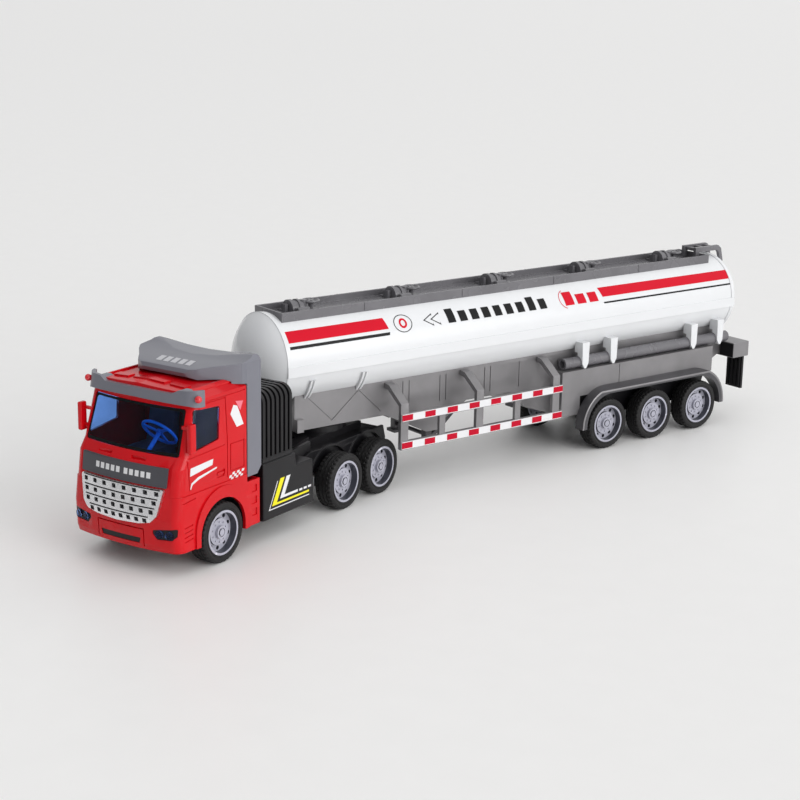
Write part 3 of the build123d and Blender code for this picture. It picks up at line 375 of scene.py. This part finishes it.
def dropped_on(tree, x, z, lift):
    """Where a line along the tractor meets the surface from ahead, lifted off it, in its own mm."""
    ahead = (TRACTOR.to_3x3() @ Vector((0, 1, 0))).normalized()
    spot, normal, _, _ = tree.ray_cast(TRACTOR @ Vector((x, -170, z)), ahead)
    return TRACTOR.inverted() @ (spot + normal * lift * MM)


INK_RED = plastic("ink_red", (0.60, 0.002, 0.018), 0.96, 0.3, 0.0, 0.0, 0.01, 0.15)
TAPE_RED = plastic("tape_red", (0.50, 0.002, 0.022), 0.96, 0.3, 0.0, 0.0, 0.01, 0.15)
INK_BLACK = plastic("ink_black", (0.006, 0.006, 0.007), 0.85, 0.3, 0.0, 0.0, 0.01, 0.2)
INK_WHITE = plastic("ink_white", (0.74, 0.74, 0.755), 0.97, 0.3, 0.0, 0.0, 0.01, 0.3)
INK_PINK = plastic("ink_pink", (0.80, 0.20, 0.26), 0.95, 0.3, 0.0, 0.0, 0.01, 0.2)
INK_GREY = plastic("ink_grey", (0.52, 0.52, 0.55), 0.97, 0.3, 0.0, 0.0, 0.01, 0.3)
INK_YELLOW = plastic("ink_yellow", (0.82, 0.74, 0.02), 0.96, 0.3, 0.0, 0.0, 0.01, 0.2)
TANK_R = 23.2
TANK_Z = 71.1
PRINT = 0.06                        # how far a print stands off its surface


def on_tank(y, degrees, lift=PRINT):
    """A point on the tank's left side, degrees above the horizontal."""
    angle = radians(degrees)
    return (TANK_R + lift) * cos(angle), y, TANK_Z + (TANK_R + lift) * sin(angle)


def tank_patch(corners):
    """A four-cornered print, each corner (y, degrees), in order round it."""
    a, b, c, d = corners
    rows = [[on_tank(*spot) for spot in between(start, end, 12)]
            for start, end in zip(between(a, d, 12), between(b, c, 12))]
    return grid(rows)


def tank_line(spots, width, closed=False):
    """A print of even width along (y, degrees) spots."""
    arc = radians(1) * TANK_R
    flat = [(y, degrees * arc) for y, degrees in spots]
    inner, outer = ribbon(flat, width, closed)
    rows = [[on_tank(y, height / arc) for y, height in line] for line in (inner, outer)]
    return grid(rows, closed)


def ribbon(flat, width, closed=False):
    """Two lines half a width to each side of a flat line, mitred at its corners."""
    count = len(flat)
    first, second = [], []
    for i, (x, y) in enumerate(flat):
        before = flat[i - 1] if i or closed else flat[0]
        after = flat[(i + 1) % count] if i < count - 1 or closed else flat[-1]
        one = Vector((x - before[0], y - before[1])).normalized() if before != (x, y) else None
        two = Vector((after[0] - x, after[1] - y)).normalized() if after != (x, y) else None
        along = ((one or two) + (two or one)).normalized()
        across = Vector((-along[1], along[0]))
        stretch = 1 / max(across.dot(Vector((-(two or one)[1], (two or one)[0]))), 0.4)
        offset = across * stretch * width / 2
        first.append((x + offset[0], y + offset[1]))
        second.append((x - offset[0], y - offset[1]))
    return first, second


def both(parts):
    """Parts of the left side with their mirror images."""
    return parts + [mirror_x(part) for part in parts]


def tank_prints():
    red = [tank_patch([(-29.8, 29.8), (30.2, 29.8), (28.8, 45.3), (-30.6, 45.3)]),
           tank_patch([(176.2, 29.6), (278.0, 29.0), (277.0, 42.8), (174.8, 43.8)])]
    black = [tank_patch([(-30.0, 21.8), (30.0, 21.8), (30.4, 25.5), (-30.2, 25.5)]),
             tank_patch([(176.3, 20.3), (278.4, 19.9), (278.0, 22.2), (176.0, 22.6)])]
    # a ring, two open arrowheads, and plain bars where words would stand
    circle = [(39.7 + 5.4 * cos(radians(12 * i)), 34.4 + 11.5 * sin(radians(12 * i))) for i in range(30)]
    black.append(tank_line(circle, 0.45, True))
    drop = [(39.7 + 1.9 * cos(radians(30 * i)), 34.4 + 5.4 * sin(radians(30 * i))) for i in range(12)]
    red.append(tank_line(drop, 1.1, True))
    for tip in (53.0, 57.6):
        arrow = [(tip, 34.0), (tip + 5.6, 41.0), (tip + 5.2, 26.0)]
        black.append(tank_line(arrow, 0.5, True))
    for i in range(9):
        y = 68.0 + 7.8 * i
        top = 45.0 if i in (0, 7) else 40.0
        black.append(tank_patch([(y, 25.6), (y + 4.9, 25.6), (y + 4.4, top), (y - 0.5, top)]))
    for i in range(3):
        y = 148.6 + 8.8 * i
        top = 44.5 if i == 0 else 39.0
        red.append(tank_patch([(y, 25.0), (y + 6.4, 25.0), (y + 5.8, top), (y - 0.6, top)]))
    sweep = [(151.0 + 5.8 * cos(radians(a)), 34.5 + 13.5 * sin(radians(a))) for a in range(110, 255, 8)]
    red.append(tank_line(sweep, 0.4))
    piece("tank_prints_red", both(red), "trailer", INK_RED, TRAILER)
    piece("tank_prints_black", both(black), "trailer", INK_BLACK, TRAILER)


def flat_patch(x, outline):
    """A flat print on a side face at x, its outline of (y, z) points in order round it."""
    return [(x, y, z) for y, z in outline], [tuple(range(len(outline)))]


def flat_line(x, spots, width, closed=False):
    """A print of even width along (y, z) spots on a side face at x."""
    inner, outer = ribbon(spots, width, closed)
    return grid([[(x, y, z) for y, z in line] for line in (inner, outer)], closed)


def side_prints():
    door = 30.2 + PRINT
    panel = 31.0 + PRINT
    white = [
        # a slanted bar over a tapering sweep on the door
        flat_patch(door, [(-131.4, 44.6), (-116.4, 46.4), (-115.8, 49.0), (-131.0, 48.2)]),
        flat_patch(door, [(-131.4, 39.0), (-130.6, 41.4), (-126.0, 43.2), (-113.4, 44.9), (-113.4, 44.2),
                          (-125.6, 42.0), (-129.8, 40.6), (-131.0, 38.6)]),
        # a slanted block above the locker
        flat_patch(door, [(-101.6, 70.4), (-98.9, 69.4), (-94.6, 60.2), (-99.4, 59.8), (-103.8, 66.6)]),
        # stripes on the black panel
        flat_patch(panel, [(-64.2, 28.4), (-61.2, 28.4), (-65.8, 19.8), (-55.6, 19.8), (-55.6, 18.6),
                           (-69.2, 18.6)]),
        flat_line(panel, [(-70.9, 27.6), (-77.2, 15.0), (-46.6, 15.0)], 0.5),
    ]
    for i in range(3):
        y = -54.4 + 3.4 * i
        white.append(flat_patch(panel, [(y, 18.6), (y + 2.4, 18.6), (y + 2.4, 19.6), (y, 19.6)]))
    for row in range(3):
        for i in range(6):
            y = -105.0 + 1.65 * i + 0.5 * (row - 1)
            z = 36.3 + 1.1 * row
            if (i + row) % 2:
                check = [(y, z), (y + 1.65, z), (y + 2.0, z + 1.1), (y + 0.35, z + 1.1)]
                white.append(flat_patch(door, check))
    pink = [flat_patch(door, [(-100.2, 71.8), (-94.9, 71.0), (-96.9, 67.0)])]
    yellow = [flat_patch(panel, [(-68.8, 28.4), (-65.6, 28.4), (-71.6, 17.4), (-46.8, 17.4), (-46.8, 16.4),
                                 (-75.2, 16.4)])]
    piece("side_prints_white", both(white), "tractor", INK_WHITE, TRACTOR)
    piece("side_prints_pink", both(pink), "tractor", INK_PINK, TRACTOR)
    piece("side_prints_yellow", both(yellow), "tractor", INK_YELLOW, TRACTOR)


def guard_tape():
    """White tape with evenly spaced red blocks along both rails of each guard."""
    face = 31.6 + PRINT
    white, red = [], []
    for low, high in ((37.1, 40.8), (22.7, 26.5)):
        white.append(flat_patch(face, [(31.0, low), (138.6, low), (138.6, high), (31.0, high)]))
        foot, top = low + 0.35, high - 0.35
        for i in range(8):
            y = 30.8 + 14.45 * i
            block = [(y, foot), (y + 6.7, foot), (y + 6.7, top), (y, top)]
            red.append(flat_patch(face + PRINT, block))
    piece("guard_tape_white", both(white), "trailer", INK_WHITE, TRAILER)
    piece("guard_tape_red", both(red), "trailer", TAPE_RED, TRAILER)


def front_bars():
    """A row of plain bars on the header where words would stand."""
    tree = node_tree("grille_header")
    parts = []
    for i in range(10):
        x = -15.2 + 3.1 * i + (1.4 if i > 4 else 0.0)
        corners = [(x, 43.6), (x + 2.1, 43.6), (x + 2.1, 46.2), (x, 46.2)]
        parts.append(([tuple(dropped_on(tree, *corner, PRINT)) for corner in corners], [(0, 1, 2, 3)]))
    piece("header_bars", parts, "tractor", INK_WHITE, TRACTOR)


tank_prints()
side_prints()
guard_tape()


# ---------------------------------------------------------------- windscreen border
def rounded(corners, radius):
    """A closed outline with its corners rounded."""
    out = []
    count = len(corners)
    for i, corner in enumerate(corners):
        corner = Vector(corner)
        before = (Vector(corners[i - 1]) - corner).normalized()
        after = (Vector(corners[(i + 1) % count]) - corner).normalized()
        half = before.angle(after) / 2
        reach = radius / max(0.3, abs(sin(half) / cos(half)))
        centre = corner + (before + after).normalized() * radius / sin(half)
        start, end = corner + before * reach - centre, corner + after * reach - centre
        for k in range(6):
            arm = start.lerp(end, k / 5).normalized() * radius
            out.append(tuple(centre + arm))
    return out


def finer(outline, step=1.5):
    """A closed outline with no side longer than step mm."""
    out = []
    for i, spot in enumerate(outline):
        following = outline[(i + 1) % len(outline)]
        length = (Vector(following) - Vector(spot)).length
        out += between(spot, following, max(1, ceil(length / step)))[:-1]
    return out


def windscreen_border():
    """A thick black border printed round the inside of the windscreen's opening."""
    tree = node_tree("windscreen")
    outer = finer(rounded([(-26.7, 53.6), (26.7, 53.6), (25.7, 73.0), (-25.7, 73.0)], 1.4))
    centre = Vector((0, 63.3))
    rows = []
    for k in range(4):
        row = []
        for spot in outer:
            away = Vector(spot) - centre
            inset = 1.0 * k / 3
            shrunk = (away[0] * (1 - inset / 26.7), away[1] * (1 - inset / 9.7))
            point = dropped_on(tree, centre[0] + shrunk[0], centre[1] + shrunk[1], PRINT)
            row.append(tuple(point))
        rows.append(row)
    piece("windscreen_border", [grid(rows, True)], "tractor", INK_BLACK, TRACTOR, 40)


def deflector_bars():
    """A row of plain slanted bars across the deflector's top."""
    tree = node_tree("roof_deflector")
    parts = []
    for i in range(5):
        x = -8.6 + 4.2 * i
        flat = [(x, -108.4), (x + 3.0, -108.4), (x + 1.6, -102.4), (x - 1.4, -102.4)]
        rows = []
        for start, end in zip(between(flat[0], flat[3], 3), between(flat[1], flat[2], 3)):
            row = []
            for spot in between(start, end, 3):
                above = TRACTOR @ Vector((*spot, 130.0))
                hit, normal, _, _ = tree.ray_cast(above, Vector((0, 0, -1)))
                row.append(tuple(TRACTOR.inverted() @ (hit + normal * PRINT * MM)))
            rows.append(row)
        parts.append(grid(rows))
    piece("deflector_bars", parts, "tractor", INK_GREY, TRACTOR)


windscreen_border()
front_bars()
deflector_bars()


# ---------------------------------------------------------------- tyres
TYRE_X = 27.45                      # a tyre's middle, from the truck's centre line
TYRE_R = 14.0


def tyre(side, y):
    """A tyre turned from its section, with side rings, three tread grooves and notched shoulders."""
    section = [(4.30, 10.30), (4.62, 10.55), (4.68, 11.0), (4.50, 11.15), (4.50, 11.35), (4.70, 11.5),
               (4.75, 12.1), (4.70, 12.55), (4.58, 12.65), (4.56, 12.8), (4.64, 12.9), (4.50, 13.35),
               (4.20, 13.75), (3.80, 13.95), (3.40, 14.0), (2.60, 14.0), (2.40, 13.98), (2.34, 13.5),
               (1.96, 13.5), (1.90, 13.98), (1.70, 14.0), (0.50, 14.0), (0.28, 13.98), (0.22, 13.5)]
    full = section + [(-x, r) for x, r in reversed(section)] + [(-4.0, 10.30), (4.0, 10.30)]
    steps = 144
    rows = []
    for x, r in full:
        row = []
        for i in range(steps):
            angle = 2 * pi * i / steps
            notch = 0.0
            if r > 13.6 and abs(x) > 2.5 and i % 4 == 0:
                notch = 0.5
            if r > 13.9 and 0.4 < abs(x) < 1.8 and i % 6 == 3:
                notch = 0.35
            radius = r - notch
            row.append((side * (TYRE_X + x), y + radius * cos(angle), TYRE_R + radius * sin(angle)))
        rows.append(row)
    rows.append(rows[0])
    return grid(rows, True)


def rim_painted_light(shown, y, matrix):
    """A painted highlight on the flange, and painted shade on the dish walls, in the holes and round the
    hub, by distance from the axle and from the side.
    """
    mesh = shown.data
    mesh.materials.append(RIM_PAINTED_SHADE)
    mesh.materials.append(RIM_PAINTED_HIGHLIGHT)
    local = matrix.inverted()
    turn = local.to_3x3().normalized()
    for polygon in mesh.polygons:
        spot = local @ polygon.center
        radius = ((spot[1] - y) ** 2 + (spot[2] - TYRE_R) ** 2) ** 0.5
        depth = 32.0 - abs(spot[0])
        flat = abs((turn @ polygon.normal)[0]) > 0.7
        # flange faces get the painted highlight; dish walls, holes and hub groove get the painted shade
        if radius > 9.0 and depth < 0.6:
            polygon.material_index = 2
        elif depth < 6.0 and not flat and (radius > 5.9 or radius < 2.2):
            polygon.material_index = 1


TRACTOR_WHEELS = {"front": -111.4, "drive_1": -17.5, "drive_2": 13.4}
TRAILER_WHEELS = {"trailer_1": 173.4, "trailer_2": 209.1, "trailer_3": 244.8}
for wheels, matrix in ((TRACTOR_WHEELS, TRACTOR), (TRAILER_WHEELS, TRAILER)):
    for name, y in wheels.items():
        pair = piece(name + "_treaded_tyres", [tyre(1, y), tyre(-1, y)], name + "_wheels", RUBBER, matrix,
                     40, True)
        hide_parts(name + "_tyres")
        rim_painted_light(refine(name + "_rims", 0.12), y, matrix)


# ---------------------------------------------------------------- wheel wells and fender lips
def sweep(path, offsets):
    """A bar along (y, z) points; its section is a closed ring of (x, distance outside the path)."""
    rows = []
    for i, spot in enumerate(path):
        before, after = path[max(i - 1, 0)], path[min(i + 1, len(path) - 1)]
        along = Vector((after[0] - before[0], after[1] - before[1])).normalized()
        rows.append([(x, spot[0] - along[1] * out, spot[1] + along[0] * out) for x, out in offsets])
    points, faces = grid(rows, True)
    count = len(offsets)
    ends = [tuple(range(count)), tuple(range(len(points) - count, len(points)))]
    return points, faces + ends


def arc(y, z, radius, start, end, steps=24):
    """(y, z) points along an arc from start to end degrees, 0 towards the tail and 90 upwards."""
    return [(y + radius * cos(radians(start + (end - start) * i / steps)),
             z + radius * sin(radians(start + (end - start) * i / steps))) for i in range(steps + 1)]


def wheel_wells():
    """Black linings inside the front arches."""
    ring = [(-126.0, 11.4)] + arc(-110.6, 14.6, 15.3, 180, 0) + [(-95.3, 11.4)]
    band = grid([[(x, y, z) for y, z in ring] for x in (21.7, 30.1)])
    back = ([(21.7, y, z) for y, z in ring], [tuple(range(len(ring)))])
    piece("front_wells", both([band, back]), "tractor", BLACK, TRACTOR, 40)


def fender_lips():
    """A pale rounded lip along each fender's outer edge."""
    path = ([(154.3, 13.2)] + arc(174.8, 14.0, 20.3, 180, 111, 16)
            + arc(244.6, 14.0, 20.3, 69, 0, 16) + [(264.9, 13.2)])
    section = [(32.25, -0.9), (32.5, -0.6), (32.5, -0.1), (32.25, 0.2), (31.6, 0.2), (31.6, -0.9)]
    piece("fender_lips", both([sweep(path, section)]), "trailer", SILVER, TRAILER, 40)


def tail_painted_shade():
    """Painted shade: a black sheet on the tail shelf's front face, beside the frame, where that face lies
    in shadow.
    """
    y = 276.2 - PRINT
    face = ([(17.6, y, 36.9), (27.6, y, 36.9), (27.6, y, 44.6), (17.6, y, 44.6)], [(0, 1, 2, 3)])
    piece("tail_painted_shade", both([face]), "trailer", BLACK, TRAILER)


wheel_wells()
fender_lips()
tail_painted_shade()


# ---------------------------------------------------------------- floor
def floor():
    size = 14.0
    mesh = bpy.data.meshes.new("floor")
    corners = [(-size, -size, 0), (size, -size, 0), (size, size, 0), (-size, size, 0)]
    mesh.from_pydata(corners, [], [(0, 1, 2, 3)])
    mesh.materials.append(FLOOR)
    plane = bpy.data.objects.new("floor", mesh)
    bpy.context.scene.collection.objects.link(plane)


floor()
